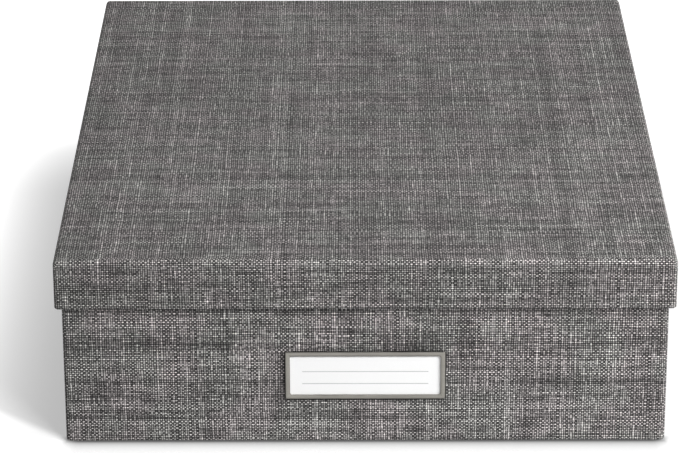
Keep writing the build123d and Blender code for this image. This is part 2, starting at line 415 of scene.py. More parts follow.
def make_linen(name):
    """Plain-weave linen on sheet coordinates in metres. At the crossing (i, j) the warp rises where
    i + j is even and dips where it is odd, as sin(pi y) along the thread, and the weft does the
    reverse. Each thread falls away from its middle line as r |2x - 1|^p, and a chance at each
    crossing leans it towards one set. The higher thread shows. The blotch is slow bands along both
    sets, and the tint is slower still."""
    tree, given, out = new_group(
        name,
        {"Sheet Place": ORIGIN, "Warp Pitch": WARP_PITCH, "Weft Pitch": WEFT_PITCH, "Seed": 0.0},
        ("Tone", "Height", "Blotch", "Tint"),
    )
    seed = given["Seed"]
    sheet = scaled(given["Sheet Place"], 1 / MM)
    shifted = vector_maths("ADD", sheet, combine(seed, seed, 0.0))
    sway = noise(shifted, WANDER_SCALE, detail=1.0, dimensions="2D", output="Color")
    sway = vector_maths("SUBTRACT", sway, (0.5, 0.5, 0.5))
    across, along, _ = separate(vector_maths("ADD", sheet, scaled(sway, WANDER_REACH)))
    warp_place = uneven_pitch(across / (given["Warp Pitch"] * (1 / MM)), seed)
    weft_place = uneven_pitch(along / (given["Weft Pitch"] * (1 / MM)), WEFT_PITCH_SEED)
    warp_index, weft_index = maths("FLOOR", warp_place), maths("FLOOR", weft_place)
    warp_part, weft_part = maths("FRACT", warp_place), maths("FRACT", weft_place)

    warp_tone, warp_thick = thread_tone(warp_index, along, WARP_RUN, seed, 0.5 - WEFT_LIGHTER)
    weft_tone, weft_thick = thread_tone(weft_index, across, WEFT_RUN, seed + WEFT_SEED, 0.5 + WEFT_LIGHTER)
    odd = maths("FLOORED_MODULO", warp_index + weft_index, 2.0)
    rise = 1.0 - odd * 2.0

    def undulating(part):
        return rise * maths("SINE", part * math.pi)

    def fall(part):
        from_middle = maths("ABSOLUTE", part * 2.0 - 1.0)
        return maths("POWER", from_middle, THREAD_POWER) * THREAD_ROUND

    spark = chance(warp_index, weft_index, seed)
    warp_height = warp_thick * THICK_SHARE + (undulating(weft_part) - fall(warp_part))
    warp_height = spread(spark, LEAN, warp_height)
    weft_height = weft_thick * THICK_SHARE - (undulating(warp_part) + fall(weft_part))
    tone = blend_values(maths("GREATER_THAN", weft_height, warp_height), warp_tone, weft_tone)
    height = maths("MAXIMUM", warp_height, weft_height) * 0.5 + 0.5

    lengthwise, crosswise = (
        noise(vector_maths("MULTIPLY", shifted, bands), detail=1.0, dimensions="2D")
        for bands in (LENGTHWISE_BANDS, CROSSWISE_BANDS)
    )
    tint = noise(vector_maths("ADD", shifted, TINT_SHIFT), TINT_SCALE, detail=1.0, dimensions="2D")
    feed(out, {
        "Tone": spread(spark, SPARK_SHARE, tone),
        "Height": height,
        "Blotch": (lengthwise + crosswise) * 0.5,
        "Tint": tint,
    })
    return tree


# Paper fibres, with densities as shares of one fibre in each size

BEND_DENSITY, FLECK_DENSITY, CLOUD_DENSITY = 0.35, 0.8, 0.02
FIBRE_STRETCH = (1.0, 0.35, 1.0)
FIBRE_BEND = 1.2 * MM
FIBRE_DETAIL, FIBRE_ROUGHNESS, CLOUD_DETAIL = 3.0, 0.65, 3.0
FLECK_BAND = (0.66, 0.74)


def make_fibres(name):
    """Fine fibres, flecks and clouds of plain paper or board on object coordinates in metres. The
    fibres are noise drawn out along Y and bent by slower noise."""
    tree, given, out = new_group(name, {"Place": ORIGIN, "Size": 0.6 * MM}, ("Fibre", "Fleck", "Cloud"))
    here = given["Place"]
    density = 1.0 / given["Size"]
    bend = scaled(grey(noise(here, density * BEND_DENSITY, 1.0)), FIBRE_BEND)
    bent = vector_maths("ADD", vector_maths("MULTIPLY", here, FIBRE_STRETCH), bend)
    fleck = noise(here, density * FLECK_DENSITY, 1.0)
    feed(out, {
        "Fibre": noise(bent, density, FIBRE_DETAIL, FIBRE_ROUGHNESS),
        "Fleck": remap(fleck, *FLECK_BAND, smooth=True),
        "Cloud": noise(here, density * CLOUD_DENSITY, CLOUD_DETAIL),
    })
    return tree


# Materials

SHEET_MAP, BAKE_MAP, WEAR_LIGHT_MAP = "threads", "OFBake", "wear_and_painted_light"
TONE_STOPS = (0.0, 0.2, 0.4, 0.55, 0.7, 0.85, 1.0)
LIGHTEST_THREAD = 0.95
RAISED_BAND = (0.34, 0.98)
GAP_LIGHT = 0.04
TINT_BAND = (0.36, 0.64)
YELLOW_TINT, RED_TINT = (1.028, 1.010, 0.976), (1.062, 0.985, 0.983)
RUB_AND_HIGHLIGHT_COLOUR = (0.50, 0.49, 0.48)
RUB_AND_HIGHLIGHT_SHARE, SHADE_SHARE = 0.38, 0.7
LINEN_ROUGHNESS = (0.88, 0.66)
LINEN_RELIEF = 0.06 * MM
LID_PRINT = {"seed": 0.0, "banding": 0.34, "steepness": 3.05}
TRAY_PRINT = {"seed": 400.0, "banding": 0.56, "steepness": 3.3}

FIBRE_BAND, SOFT_BAND, CARD_BAND = (0.34, 0.66), (0.3, 0.7), (0.35, 0.65)
FLECK_DEPTH = 0.30
ROUGHNESS_RANGE = 0.06

FRAME_STRIP = 2.25 * MM
GRAIN_SCALES = (60.0, 2500.0, 2500.0)
GRAIN_DETAIL, METAL_CLOUDS, METAL_CLOUD_DETAIL = 2.0, 90.0, 3.0
METAL_ROUGHNESS = (0.34, 0.46)
RIM_SHADE_BAND, RIM_PAINTED_SHADE = (0.05 * MM, 0.6 * MM), 0.12
DOME_RELIEF, GRAIN_RELIEF = 0.36 * MM, 0.02

CARD_FIBRE = 0.35 * MM
RULING_SHARES = (0.34, 0.62)
RULING_REACH = 0.40
RULING_BAND = (0.10 * MM, 0.16 * MM)
RULING_INK = 0.85


def linen_material(name, middle, seed, banding, steepness):
    """Matt paper printed and embossed with grey linen: dark gaps, mid-grey and light threads. A thread of
    tone t has the grey middle exp(k (t - 0.5)), with k the steepness; the banding is the share of the blotch
    in the tone. Marks above 0 rub the threads lighter, which along the lid's fold is also a painted
    highlight, and marks below 0 are painted shade."""
    sizes = settings().covering
    material, tree, surface = new_material(name)
    weave = use_group("Linen weave", make_linen, {
        "Sheet Place": read(tree, "ShaderNodeUVMap", 0, uv_map=SHEET_MAP),
        "Warp Pitch": sizes.warp_pitch,
        "Weft Pitch": sizes.weft_pitch,
        "Seed": seed,
    })
    raised = remap(weave["Height"], *RAISED_BAND, GAP_LIGHT, 1.0, smooth=True)
    uneven = spread(weave["Blotch"], banding, weave["Tone"])
    greys = [min(LIGHTEST_THREAD, middle * math.exp(steepness * (stop - 0.5))) for stop in TONE_STOPS]
    cloth = multiply_colours(ramp(uneven, list(zip(TONE_STOPS, greys))), grey(raised))
    tint = remap(weave["Tint"], *TINT_BAND, smooth=True)
    cloth = multiply_colours(cloth, blend_colours(tint, YELLOW_TINT, RED_TINT))
    wear_and_light = read(tree, "ShaderNodeAttribute", "Fac", attribute_name=WEAR_LIGHT_MAP)
    # Marks above 0 rub the threads lighter; along the lid's fold this is also a painted highlight.
    rubbed = maths("MULTIPLY", wear_and_light, raised * RUB_AND_HIGHLIGHT_SHARE, clamp=True)
    cloth = blend_colours(rubbed, cloth, RUB_AND_HIGHLIGHT_COLOUR)
    # Marks below 0 are painted shade beside the seams.
    shaded = maths("MINIMUM", wear_and_light, 0.0) * SHADE_SHARE + 1.0
    feed(surface, {
        "Base Color": multiply_colours(cloth, grey(shaded)),
        "Roughness": remap(weave["Height"], 0.0, 1.0, *LINEN_ROUGHNESS),
        "Specular IOR Level": 0.30,
        "Normal": bump(weave["Height"], LINEN_RELIEF, 0.8),
    })
    return material


def paper_material(name, colour, size, depth, roughness, cloudiness=0.10):
    """Plain paper or board: fibres, flecks and faint clouds over one colour."""
    material, tree, surface = new_material(name)
    marks = use_group("Paper fibres", make_fibres, {"Place": object_place(tree), "Size": size})
    dark, light = shade_of(colour, 0.80), shade_of(colour, 1.08)
    base = blend_colours(remap(marks["Fibre"], *FIBRE_BAND), dark, light)
    base = blend_colours(marks["Fleck"] * FLECK_DEPTH, base, dark)
    clouds = remap(marks["Cloud"], *SOFT_BAND, 1.0 - cloudiness, 1.0)
    feed(surface, {
        "Base Color": multiply_colours(base, grey(clouds)),
        "Roughness": remap(marks["Fibre"], *SOFT_BAND, roughness - ROUGHNESS_RANGE, roughness),
        "Specular IOR Level": 0.25,
        "Normal": bump(marks["Fibre"], depth, 0.7),
    })
    return material


def metal_material(colour):
    """Satin plated steel: a faint grain along X and cloudy roughness. Its bars are domed by 4 u (1 - u),
    with u the share of the bar's width from its outer edge, which is darkened by painted shade."""
    material, tree, surface = new_material("label_holder_metal")
    here = object_place(tree)
    grain = noise(vector_maths("MULTIPLY", here, GRAIN_SCALES), 1.0, GRAIN_DETAIL)
    cloud = noise(here, METAL_CLOUDS, METAL_CLOUD_DETAIL)
    centred = vector_maths("SUBTRACT", here, tuple((frame_low + frame_high) / 2))
    half_size = tuple((frame_high - frame_low) / 2)
    from_side, _, from_end = separate(vector_maths("SUBTRACT", half_size, vector_maths("ABSOLUTE", centred)))
    edge = maths("MINIMUM", from_side, from_end)
    across = maths("DIVIDE", edge, FRAME_STRIP, clamp=True)
    dome = across * 4.0 * (1.0 - across)
    mottle = remap(spread(grain, 0.5, cloud), *SOFT_BAND)
    base = blend_colours(mottle, shade_of(colour, 0.88), shade_of(colour, 1.10))
    # Painted shade along the frame's outer edge.
    rim = remap(edge, *RIM_SHADE_BAND, RIM_PAINTED_SHADE, 1.0, smooth=True)
    feed(surface, {
        "Base Color": multiply_colours(base, grey(rim)),
        "Metallic": 0.7,
        "Roughness": remap(cloud, *SOFT_BAND, *METAL_ROUGHNESS),
        "Normal": bump(grain * GRAIN_RELIEF + dome, DOME_RELIEF),
    })
    return material


def card_material(colours):
    """Smooth white card with two thin ruled writing lines on its front."""
    material, tree, surface = new_material("label_card_stock")
    here = object_place(tree)
    marks = use_group("Paper fibres", make_fibres, {"Place": here, "Size": CARD_FIBRE})
    white = tuple(colours.card)
    base = blend_colours(remap(marks["Fibre"], *CARD_BAND), shade_of(white, 0.975), white)
    x, _, z = separate(here)
    width, _, height = (float(side) for side in card_high - card_low)
    lines = 0.0
    for share in RULING_SHARES:
        off = maths("ABSOLUTE", z - (float(card_low[2]) + share * height))
        lines = maths("ADD", remap(off, *RULING_BAND, 1.0, 0.0), lines, clamp=True)
    within = maths("LESS_THAN", maths("ABSOLUTE", x), RULING_REACH * width)
    feed(surface, {
        "Base Color": blend_colours(lines * within * RULING_INK, base, tuple(colours.ruling)),
        "Roughness": 0.55,
        "Specular IOR Level": 0.3,
        "Normal": bump(marks["Fibre"], 0.01 * MM, 0.5),
    })
    return material


# Sheet geometry

OUTWARD = np.array([(0, -1), (1, 0), (0, 1), (-1, 0)], float)
ALONG = np.array([(1, 0), (0, 1), (-1, 0), (0, -1)], float)
FRONT, RIGHT, BACK, LEFT = 0.5, 2.5, 4.5, 6.5
SIDES = (("front", FRONT), ("right", RIGHT), ("back", BACK), ("left", LEFT))
ROUND = 8
PLACE_DIGITS = 9
ARC_STEPS = 6
MERGE_DISTANCE = 0.002 * MM
SHARP_ANGLE = math.radians(40)


class Outline:
    """The outline of a box seen from above, its corners rounded. A place s runs from 0 at the
    front's left end anticlockwise: each side takes one unit and each corner the next one."""

    def __init__(self, low, high, corner):
        self.half = (high[:2] - low[:2]) / 2
        self.corner = corner
        self.flat = 2 * (self.half - corner)
        bend = corner * math.pi / 2
        half_round = [self.flat[0], bend, self.flat[1], bend]
        self.knots = np.concatenate([[0], np.cumsum(half_round * 6)])

    def directions(self, s):
        """Which corner of the inner rectangle each place is measured from, and which way it faces."""
        quarter = np.floor(s / 2).astype(int)
        part = s - 2 * quarter
        out = OUTWARD[quarter % 4]
        along = ALONG[quarter % 4]
        run = np.minimum(part, 1) * 2 - 1
        turn = np.maximum(part - 1, 0) * math.pi / 2
        reach = out + run[:, None] * along
        facing = np.cos(turn)[:, None] * out + np.sin(turn)[:, None] * along
        return reach, facing

    def distance(self, s):
        """Distance round the outside from s = 0, for places up to a round away from it."""
        return np.interp(s + ROUND, np.arange(3 * ROUND + 1), self.knots) - self.knots[ROUND]

    def point(self, s, inset):
        """Points at places s and insets: reach * (half - inset - r) + r * facing, where r, the
        corner's radius there, is the outer radius less the inset, and not below 0."""
        reach, facing = self.directions(s)
        radius = np.maximum(self.corner - inset, 0)[..., None]
        middle = self.half - inset[..., None] - radius
        return reach[:, None] * middle + radius * facing[:, None]

    def places(self, first, last, step, extra):
        """Places from first to last, close enough for the mesh, with those of extra added."""
        found = [np.array([first, last, *extra], float)]
        for unit in range(math.floor(first), math.ceil(last)):
            if unit % 2:
                count = ARC_STEPS
            else:
                count = math.ceil(self.flat[(unit // 2) % 2] / step)
            found.append(unit + np.linspace(0, 1, count + 1))
        s = np.unique(np.concatenate(found).round(PLACE_DIGITS))
        nearly = 10**-PLACE_DIGITS
        return s[(s >= first - nearly) & (s <= last + nearly)]


class Section:
    """A sheet's section: a line of right-angled turns, each rounded, as rows of inset, height,
    outward direction and length along the paper."""

    def __init__(self, corners, radii, step, start=0.0):
        corners = np.array(corners, float)
        legs = np.diff(corners, axis=0)
        ways = legs / np.linalg.norm(legs, axis=1)[:, None]
        radii = [0.0, *radii, 0.0]
        rows, tangents = [], []
        for i, way in enumerate(ways):
            first = corners[i] + radii[i] * way
            last = corners[i + 1] - radii[i + 1] * way
            count = max(1, math.ceil(np.linalg.norm(last - first) / step))
            share = np.linspace(0, 1, count + 1)[:, None]
            rows.append(first + share * (last - first))
            tangents.append(np.repeat(way[None], count + 1, axis=0))
            if i + 1 < len(ways):
                turn = np.linspace(0, math.pi / 2, ARC_STEPS + 1)[1:-1, None]
                radius = radii[i + 1]
                middle = last + radius * ways[i + 1]
                rows.append(middle - radius * (np.cos(turn) * ways[i + 1] - np.sin(turn) * way))
                tangents.append(np.cos(turn) * way + np.sin(turn) * ways[i + 1])
        rows = np.concatenate(rows)
        tangents = np.concatenate(tangents)
        self.inset, self.height = rows.T
        self.out = np.stack([tangents[:, 1], -tangents[:, 0]], axis=1)
        steps = np.linalg.norm(np.diff(rows, axis=0), axis=1)
        self.length = start + np.concatenate([[0], np.cumsum(steps)])


def sweep(outline, s, section, depth):
    """Carries a section round an outline, sunk by a depth at each place and row."""
    inset = section.inset[None] - depth * section.out[None, :, 0]
    height = section.height[None] - depth * section.out[None, :, 1]
    return np.concatenate([outline.point(s, inset), height[..., None]], axis=2)


def add_object(name, data):
    """Puts a new object in the scene."""
    made = bpy.data.objects.new(name, data)
    bpy.context.scene.collection.objects.link(made)
    return made


class Grids:
    """Grids of points that are joined into one closed mesh."""

    def __init__(self):
        self.parts = []

    def add(self, points, sheet, wear_and_light=0.0, slot=0, flip=False, bake=None):
        """One grid: points, sheet coordinates, marks of rubbing with painted highlight and shade, material
        slot and which way it faces.
        """
        wear_and_light = np.broadcast_to(np.asarray(wear_and_light, float), points.shape[:2])
        self.parts.append((points, sheet, wear_and_light, slot, flip, sheet if bake is None else bake))

    def shell(self, outer, inner, sheet, wear_and_light):
        """Outer and inner layers of a sheet, and the cut edges all round it."""
        self.add(outer, sheet, wear_and_light)
        self.add(inner, sheet, slot=1, flip=True)
        borders = (np.s_[0], np.s_[:, -1], np.s_[-1], np.s_[:, 0])
        for border, flip in zip(borders, (False, False, True, True)):
            points = np.stack([inner[border], outer[border]])
            self.add(points, np.stack([sheet[border]] * 2), slot=1, flip=flip)

    def build(self, name, materials, with_bake=False):
        """Makes the object, merges what coincides and marks the cut edges as sharp."""
        points, faces, sheets, bakes, wear_and_light_lists, slots = [], [], [], [], [], []
        total = 0
        for grid, sheet, wear_and_light, slot, flip, bake in self.parts:
            count, rows = grid.shape[:2]
            index = total + np.arange(count * rows).reshape(count, rows)
            corners = (index[:-1, :-1], index[:-1, 1:], index[1:, 1:], index[1:, :-1])
            quads = np.stack(corners[::-1] if flip else corners, axis=-1).reshape(-1, 4)
            faces.append(quads)
            slots.append(np.full(len(quads), slot))
            points.append(grid.reshape(-1, 3))
            sheets.append(sheet.reshape(-1, 2))
            bakes.append(bake.reshape(-1, 2))
            wear_and_light_lists.append(wear_and_light.ravel())
            total += count * rows
        faces = np.concatenate(faces)
        mesh = bpy.data.meshes.new(name)
        mesh.from_pydata(np.concatenate(points), [], faces.tolist())
        maps = [(SHEET_MAP, sheets)] + ([(BAKE_MAP, bakes)] if with_bake else [])
        for label, values in maps:
            layer = mesh.uv_layers.new(name=label)
            layer.data.foreach_set("uv", np.concatenate(values)[faces.ravel()].ravel())
        wear_and_light_layer = mesh.attributes.new(WEAR_LIGHT_MAP, "FLOAT", "POINT")
        wear_and_light_layer.data.foreach_set("value", np.concatenate(wear_and_light_lists))
        mesh.polygons.foreach_set("material_index", np.concatenate(slots))
        for material in materials:
            mesh.materials.append(material)
        joined = bmesh.new()
        joined.from_mesh(mesh)
        bmesh.ops.remove_doubles(joined, verts=joined.verts, dist=MERGE_DISTANCE)
        bmesh.ops.dissolve_degenerate(joined, edges=joined.edges, dist=MERGE_DISTANCE)
        joined.to_mesh(mesh)
        joined.free()
        mesh.shade_smooth()
        mesh.set_sharp_from_angle(angle=SHARP_ANGLE)
        return add_object(name, mesh)


# How the papers lie and rub, and the highlight and shade painted on them

WAVE_SCALES = ((0.5, 83 * MM), (0.3, 37 * MM), (0.2, 19 * MM))
WAVE_STRETCH, WAVE_SKEW = 1.3, 1.7
NEXT_PHASE, PHASE_STEP = 1.9, 0.7
FLAP_WAVE = 0.04 * MM
PANEL_WAVE, PANEL_WAVE_EDGE, PANEL_PHASE = 0.05 * MM, 12 * MM, 0.4
SINGLE_LAYER_DEPTH = 0.09 * MM
PAPER_GAP = 0.01 * MM
EAR_EASE = 2.5 * MM
SINK_START = 0.15
SIDE_END_EASE = 0.03
HELD_REACH = 4 * MM
SIDE_LEAST = 0.25

SEAM_RUB, SEAM_RUB_SPREAD = 0.8, 0.4 * MM
# Painted shade on a side paper just past the edge of the upper paper at a seam.
SEAM_SHADE, SEAM_SHADE_SPREAD = 0.9, 0.55 * MM
SEAM_STEPS = (0.2 * MM, 0.45 * MM, 0.75 * MM, 1.1 * MM)
LID_RIM_WEAR, TRAY_RIM_WEAR = (1.0 * MM, 0.45), (1.3 * MM, 0.35)

JUNCTION_DROP = 3.5 * MM
PANEL_EDGE = 2.6 * MM
FOLD_GRID = 0.4 * MM
# A lighter line along the lid's top fold: painted highlight on the rounded fold, and rubbing of the thread
# tops.
FOLD_RUB_HIGHLIGHT, FOLD_RUB_HIGHLIGHT_PLACE, FOLD_RUB_HIGHLIGHT_SPREAD = 0.8, 4.3 * MM, 0.45 * MM
FOLD_EASE = 1 * MM
BAKE_EDGE = 0.5 * MM
BAKE_GAP = 0.004


def smooth_step(value, low, high):
    """0 below low, 1 above high, and a smooth S between."""
    t = np.clip((value - low) / (high - low), 0, 1)
    return t * t * (3 - 2 * t)


def bell(distance, width):
    """1 at no distance, falling as exp(-(distance / width)^2)."""
    return np.exp(-((distance / width) ** 2))


def waves(across, along, height, phase):
    """Faint unevenness of hand-laid paper, 0 to height: products of two sines at three scales."""
    total = 0.0
    for share, wave in WAVE_SCALES:
        a = np.sin(2 * math.pi * across / wave + phase)
        b = np.sin(2 * math.pi * along / (WAVE_STRETCH * wave) + WAVE_SKEW * phase)
        total = total + share * (0.5 + 0.5 * a * b)
        phase = NEXT_PHASE * phase + PHASE_STEP
    return height * total


def flap_sheet(outline, section, middle, s):
    """Flat sheet coordinates of a lid's flap: along its side and out past the panel's edge."""
    quarter = int(middle // 2)
    along = outline.distance(s) - outline.distance(middle)
    out = (outline.half - outline.corner)[(quarter + 1) % 2] + section.length
    return along[:, None, None] * ALONG[quarter] + out[None, :, None] * OUTWARD[quarter]


def wall_sheet(outline, section, s):
    """Flat sheet coordinates of the tray's covering: round the box and up the wall."""
    along = outline.distance(s) - outline.distance(FRONT)
    return np.stack(np.meshgrid(along, section.length, indexing="ij"), axis=2)


def seam_reach():
    """How far the front and back papers reach into the corner's unit."""
    return settings().covering.seam_angle / (math.pi / 2)


def seams():
    """The places where the front and back papers end, and on which side of each the side paper lies."""
    reach = seam_reach()
    return [(-reach, -1), (1 + reach, 1), (4 - reach, -1), (5 + reach, 1), (ROUND - reach, -1)]


def seam_places(outline):
    """Places close beside the seams, so that the mesh holds their fine marks."""
    corner_length = outline.corner * math.pi / 2
    steps = [side * step / corner_length for side in (-1, 1) for step in (0, *SEAM_STEPS)]
    return [end + step for end, _ in seams() for step in steps]


def seam_marks(outline, s, at_seam):
    """Marks beside the seams, with t the distance past the edge of the upper paper: rubbing of exp(-(t /
    spread)^2) on that paper, and a painted shade, below 0, of the same form on the side paper."""
    total = 0.0
    for end, way in seams():
        t = way * (outline.distance(s) - outline.distance(end))
        rub = SEAM_RUB * bell(t, SEAM_RUB_SPREAD)
        shade = SEAM_SHADE * bell(t, SEAM_SHADE_SPREAD)
        beside = np.abs(t) > MERGE_DISTANCE
        close = np.abs(t) < 4 * SEAM_SHADE_SPREAD
        total = total + close * np.where(beside, np.where(t < 0, rub, -shade), at_seam)
    return total


def upper_lie(outline, middle):
    """A front or back paper's places, its depth there, and the share of its unevenness. It reaches
    part of the way round the corners, over the side papers' ears, and sinks past the ears."""
    sizes = settings().covering
    ear, ease = sizes.ear / outline.flat[0], EAR_EASE / outline.flat[0]
    reach = 0.5 + seam_reach()
    ear_ends = [middle + side * (0.5 - ear - k * ease) for side in (-1, 1) for k in (0, 0.5, 1)]
    s = outline.places(middle - reach, middle + reach, sizes.grid, ear_ends + seam_places(outline))
    past_ear = 1 - smooth_step(np.abs(s - middle), 0.5 - ear - ease, 0.5 - ear)
    return s, SINGLE_LAYER_DEPTH * past_ear, past_ear


def under_lie(outline, middle):
    """The same for a side paper, which goes round the corners under the front and back papers and
    ends in an ear behind each."""
    sizes = settings().covering
    reach = 1.5 + sizes.ear / outline.flat[0]
    s = outline.places(middle - reach, middle + reach, sizes.grid, seam_places(outline))
    off_side = np.abs(s - middle) - 0.5
    depth = (sizes.paper + PAPER_GAP) * smooth_step(off_side, SINK_START, 1 - seam_reach())
    return s, depth, smooth_step(-off_side, 0, SIDE_END_EASE)


def flap(name, outline, section, middle, sheet_of, rim_wear, materials, held=-math.inf):
    """One covering paper of a wall: its outer and inner layers, faintly uneven away from the length where it
    is held, and rubbed at the seams and round the rim, with painted shade beside the seams on a side paper."""
    on_top = middle in (FRONT, BACK)
    s, sunk, loose = upper_lie(outline, middle) if on_top else under_lie(outline, middle)
    away = smooth_step(np.abs(section.length - held), 0, HELD_REACH)
    if not on_top:
        away = SIDE_LEAST + (1 - SIDE_LEAST) * away
    uneven = waves(outline.distance(s)[:, None], section.length[None], FLAP_WAVE, middle)
    depth = (sunk[:, None] + uneven * loose[:, None]) * away[None]
    rim_length, rim_width, rim_rub = rim_wear
    rubbed = rim_rub * bell(section.length - rim_length, rim_width)
    # Rubbing round the rim, and at the seams rubbing on an upper paper and painted shade on a side paper.
    wear_and_light = seam_marks(outline, s, SEAM_RUB if on_top else -SEAM_SHADE)[:, None] + rubbed[None]
    outer = sweep(outline, s, section, depth)
    inner = sweep(outline, s, section, depth + settings().covering.paper)
    grids = Grids()
    grids.shell(outer, inner, sheet_of(s), wear_and_light)
    return grids.build(name, materials)


def bake_layout(flat_side, edge_length):
    """Where the panel's sheet lies in the bake map: the outer face fills the height, and the unseen
    inner face is squeezed into the strip that is left beside it."""
    half = flat_side + edge_length + BAKE_EDGE
    scale = 1 / ((1 + 3 * BAKE_GAP) * 2 * half[1])
    middle_u = half[0] * scale + BAKE_GAP
    strip_left = 2 * (middle_u + BAKE_GAP)
    strip_width = 1 - 2 * BAKE_GAP - strip_left

    def shown(sheet):
        return sheet * scale + (middle_u, 0.5)

    def hidden(sheet):
        share = sheet[..., 0] / (2 * (flat_side[0] + edge_length)) + 0.5
        return np.stack([strip_left + share * strip_width, sheet[..., 1] * scale + 0.5], axis=-1)

    return shown, hidden


def lid_panel(outline, section, materials):
    """The lid covering's top: a flat panel and the fold all round it, down to the flaps."""
    sizes = settings().covering
    s = outline.places(0, ROUND, sizes.grid, seam_places(outline))
    reach, facing = outline.directions(s)
    side = outline.half - PANEL_EDGE
    flat_side = outline.half - sizes.corner
    gx, gy = np.meshgrid(
        np.unique(reach[:, 0].round(PLACE_DIGITS)) * side[0],
        np.unique(reach[:, 1].round(PLACE_DIGITS)) * side[1],
        indexing="ij",
    )
    border = np.minimum(side[0] - np.abs(gx), side[1] - np.abs(gy))
    sag = waves(gx, gy, PANEL_WAVE, PANEL_PHASE) * smooth_step(border, 0, PANEL_WAVE_EDGE)
    cap_sheet = np.stack([gx, gy], axis=2) * (flat_side / side)
    ring_sheet = reach[:, None] * flat_side + section.length[None, :, None] * facing[:, None]
    # Painted highlight and rubbing along the fold, and below it the seams' rubbing and painted shade.
    wear_and_light = FOLD_RUB_HIGHLIGHT * bell(section.length - FOLD_RUB_HIGHLIGHT_PLACE, FOLD_RUB_HIGHLIGHT_SPREAD)
    past_fold = smooth_step(section.length, FOLD_RUB_HIGHLIGHT_PLACE - FOLD_EASE, FOLD_RUB_HIGHLIGHT_PLACE)
    wear_and_light = wear_and_light[None] + seam_marks(outline, s, 0.0)[:, None] * past_fold[None]
    shown, hidden = bake_layout(flat_side, section.length[-1])

    grids = Grids()
    cap_outer = np.stack([gx, gy, float(lid_high[2]) - sag], axis=2)
    grids.add(cap_outer, cap_sheet, flip=True, bake=shown(cap_sheet))
    grids.add(cap_outer - (0, 0, sizes.paper), cap_sheet, slot=1, bake=hidden(cap_sheet))
    flat = np.zeros((len(s), len(section.length)))
    outer = sweep(outline, s, section, flat)
    inner = sweep(outline, s, section, flat + sizes.paper)
    inner[:, 0] = outer[:, 0] - (0, 0, sizes.paper)
    grids.add(outer, ring_sheet, wear_and_light, bake=shown(ring_sheet))
    grids.add(inner, ring_sheet, slot=1, flip=True, bake=hidden(ring_sheet))
    cut = np.stack([inner[:, -1], outer[:, -1]])
    cut_sheet = np.stack([ring_sheet[:, -1] + BAKE_EDGE * facing, ring_sheet[:, -1]])
    grids.add(cut, cut_sheet, slot=1, bake=shown(cut_sheet))
    return grids.build("lid_cover_top", materials, with_bake=True)


def covering_materials(name, middle, linen_print):
    """The linen print and the paper's grey core behind it."""
    core = bpy.data.materials.get("covering_paper_core") or paper_material(
        "covering_paper_core", tuple(settings().colours.core), 0.4 * MM, 0.01 * MM, 0.85
    )
    return linen_material(name, middle, **linen_print), core


def give(node, material):
    """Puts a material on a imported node."""
    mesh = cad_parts[node].data
    mesh.materials.clear()
    mesh.materials.append(material)


class BOX_OT_boards(bpy.types.Operator):
    """Gives the grey boards and the gummed corner papers their finish."""

    bl_idname = "document_box.boards"
    bl_label = "Boards and corner papers"
    bl_options = {"REGISTER", "UNDO"}

    def execute(self, context):
        colours = settings().colours
        board = paper_material("grey_board", tuple(colours.board), 0.9 * MM, 0.05 * MM, 0.92, 0.2)
        stay = paper_material("gummed_paper", tuple(colours.stay), 0.5 * MM, 0.02 * MM, 0.7)
        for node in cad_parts:
            if node.endswith("_board"):
                give(node, board)
            elif "corner_stay" in node:
                give(node, stay)
        return {"FINISHED"}


class BOX_OT_linings(bpy.types.Operator):
    """Gives the linings and the sheet under the base their finish."""

    bl_idname = "document_box.linings"
    bl_label = "Linings and base sheet"
    bl_options = {"REGISTER", "UNDO"}

    def execute(self, context):
        colours = settings().colours
        liner = paper_material("lining_paper", tuple(colours.liner), 0.5 * MM, 0.02 * MM, 0.82, 0.05)
        for node in ("tray_wall_liner", "tray_base_liner", "lid_liner"):
            give(node, liner)
        give("tray_base_sheet", paper_material("base_paper", tuple(colours.base), 0.6 * MM, 0.03 * MM, 0.85))
        return {"FINISHED"}


class BOX_OT_lid_covering(bpy.types.Operator):
    """Makes the lid's covering: the panel with its fold, and a flap down each side."""

    bl_idname = "document_box.lid_covering"
    bl_label = "Lid covering"
    bl_options = {"REGISTER", "UNDO"}

    def execute(self, context):
        sizes = settings().covering
        materials = covering_materials("lid_linen", settings().colours.lid_linen, LID_PRINT)
        outline = Outline(lid_low, lid_high, sizes.corner)
        top, bottom = float(lid_high[2]), float(lid_low[2])
        junction = top - JUNCTION_DROP
        panel = Section([(PANEL_EDGE, top), (0, top), (0, junction)], [sizes.lid_fold], FOLD_GRID)
        held = panel.length[-1]
        wall = Section(
            [(0, junction), (0, bottom), (sizes.wall, bottom), (sizes.wall, lid_liner_top)],
            [sizes.rim, sizes.rim],
            sizes.grid,
            held,
        )
        pieces = [lid_panel(outline, panel, materials)]
        rim_wear = (held + junction - bottom, *LID_RIM_WEAR)
        for side, middle in SIDES:
            sheet_of = partial(flap_sheet, outline, wall, middle)
            pieces.append(
                flap(f"lid_cover_{side}", outline, wall, middle, sheet_of, rim_wear, materials, held)
            )
        for piece in pieces:
            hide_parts("lid_wrap")
            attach(piece, "lid")
        return {"FINISHED"}


